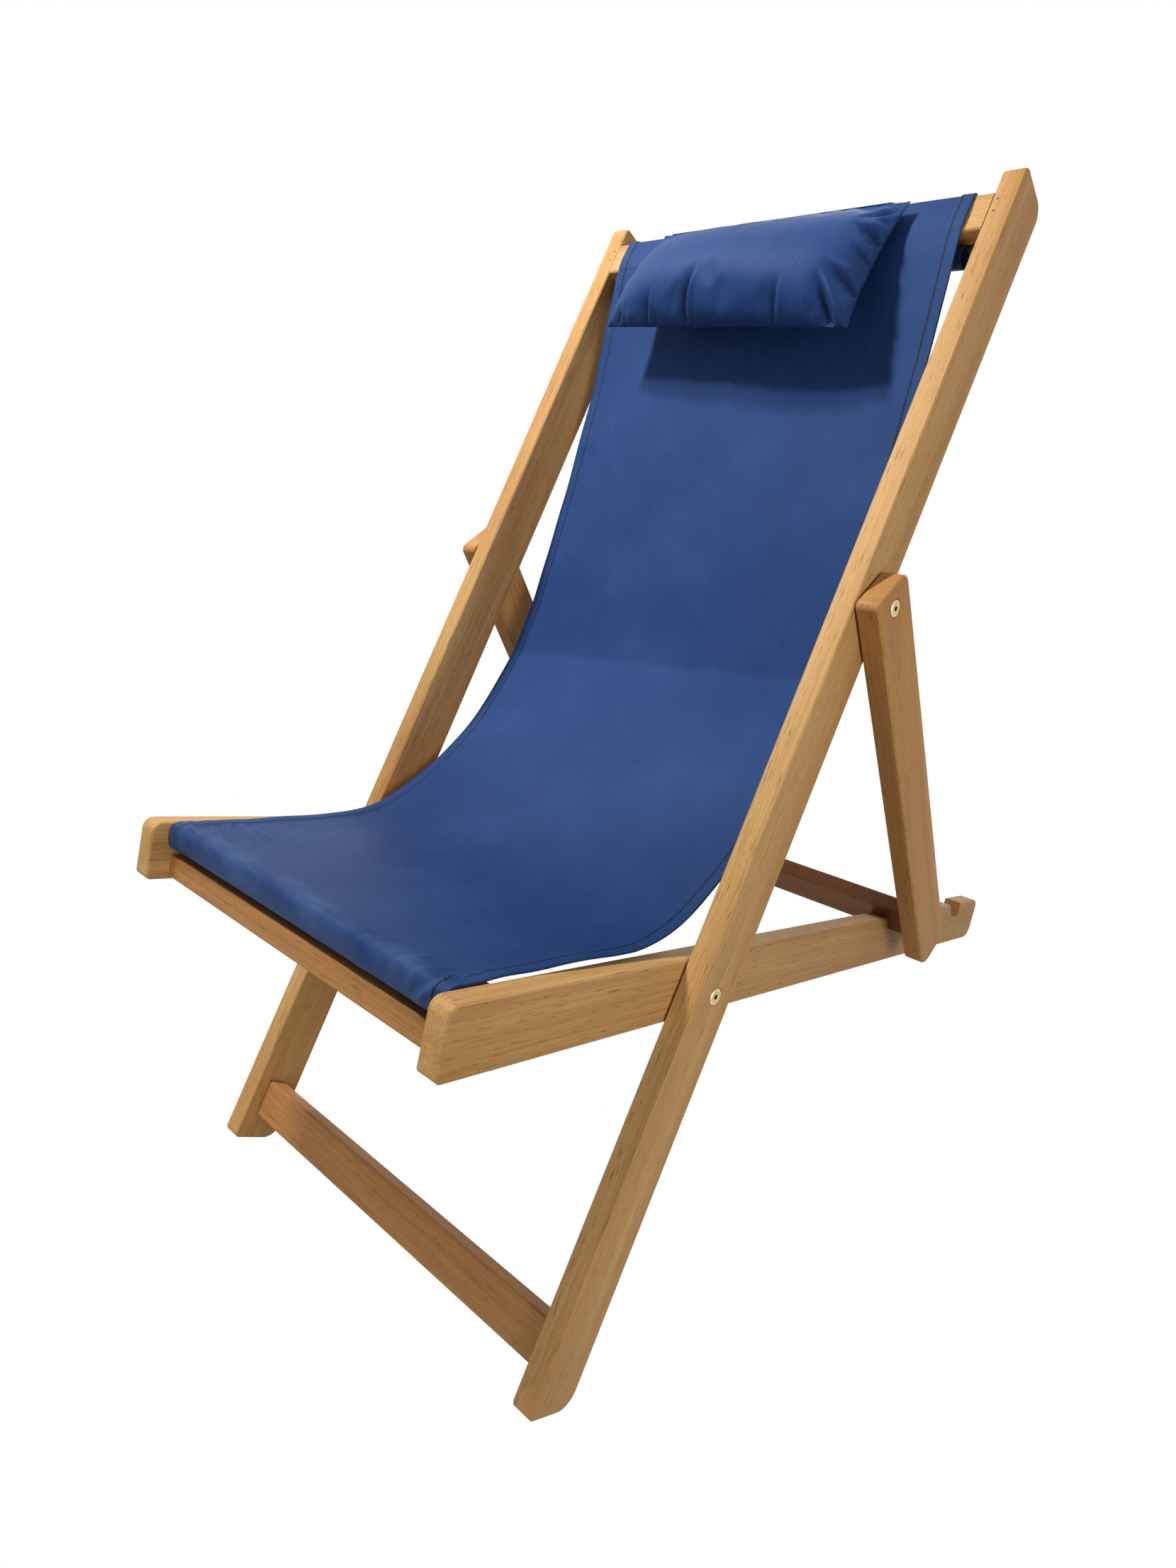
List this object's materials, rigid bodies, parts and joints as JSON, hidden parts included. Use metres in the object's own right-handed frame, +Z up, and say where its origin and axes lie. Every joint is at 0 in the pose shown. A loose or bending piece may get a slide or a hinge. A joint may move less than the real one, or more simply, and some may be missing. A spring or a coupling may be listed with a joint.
{
  "type": "sling deck chair",
  "caption": "Folding wooden sling chair: canvas hung between a leaning back frame and a notched seat frame, with a prop and head pillow.",
  "frame": {"origin": "on the floor, at the middle of the chair's box in plan", "axes": "+X across the chair to the sitter's left, +Y to the rear, +Z up; the sitter faces -Y"},
  "size_m": [0.6138, 1.0618, 1.046],
  "materials": {
    "hardwood": "oiled light hardwood, straight grain",
    "hardwood_dark": "oiled hardwood, darker plank",
    "dowel_wood": "turned, unfinished",
    "zinc_brass": "yellow zinc plate, satin",
    "nylon": "black nylon",
    "steel": "dull steel brad heads",
    "canvas": "navy woven canvas"
  },
  "bodies": {
    "back_frame": {"long_rail_left": "hardwood", "long_rail_right": "hardwood", "top_front_slat": "hardwood", "top_rear_slat": "hardwood", "bottom_stretcher": "hardwood", "top_hem_dowel": "dowel_wood", "slat_brads": "steel", "sling": "canvas", "pillow_flap": "canvas", "seat_pivot_bolts": "zinc_brass", "prop_pivot_bolts": "zinc_brass", "seat_sleeve_nuts": "zinc_brass", "prop_inserts": "zinc_brass", "seat_washers": "nylon", "prop_washers": "nylon"},
    "seat_frame": {"seat_rail_left": "hardwood", "seat_rail_right": "hardwood", "seat_upper_bar": "hardwood", "seat_lower_slat": "hardwood", "seat_hem_dowel": "dowel_wood"},
    "prop_frame": {"strut_left": "hardwood", "strut_right": "hardwood", "prop_cross_bar": "hardwood_dark", "prop_brads": "steel"},
    "pillow": {"head_pillow": "canvas"}
  },
  "joints": [
    {"name": "seat_fold", "type": "hinge", "parent": "back_frame", "child": "seat_frame", "pos_m": [0, -0.22311, 0.33434], "axis": [-1, 0, 0], "range_deg": [0, 95], "deforming": ["sling"]},
    {"name": "prop_swing", "type": "hinge", "parent": "back_frame", "child": "prop_frame", "pos_m": [0, 0.04119, 0.65817], "axis": [-1, 0, 0], "range_deg": [0, 52.25]},
    {"name": "pillow_flip", "type": "hinge", "parent": "back_frame", "child": "pillow", "pos_m": [0, 0.28814, 1.0327], "axis": [-1, 0, 0], "range_deg": [0, 150]}
  ],
  "couplings": [
    {"joint": "prop_swing", "follows": "seat_fold", "ratio": 0.55}
  ]
}
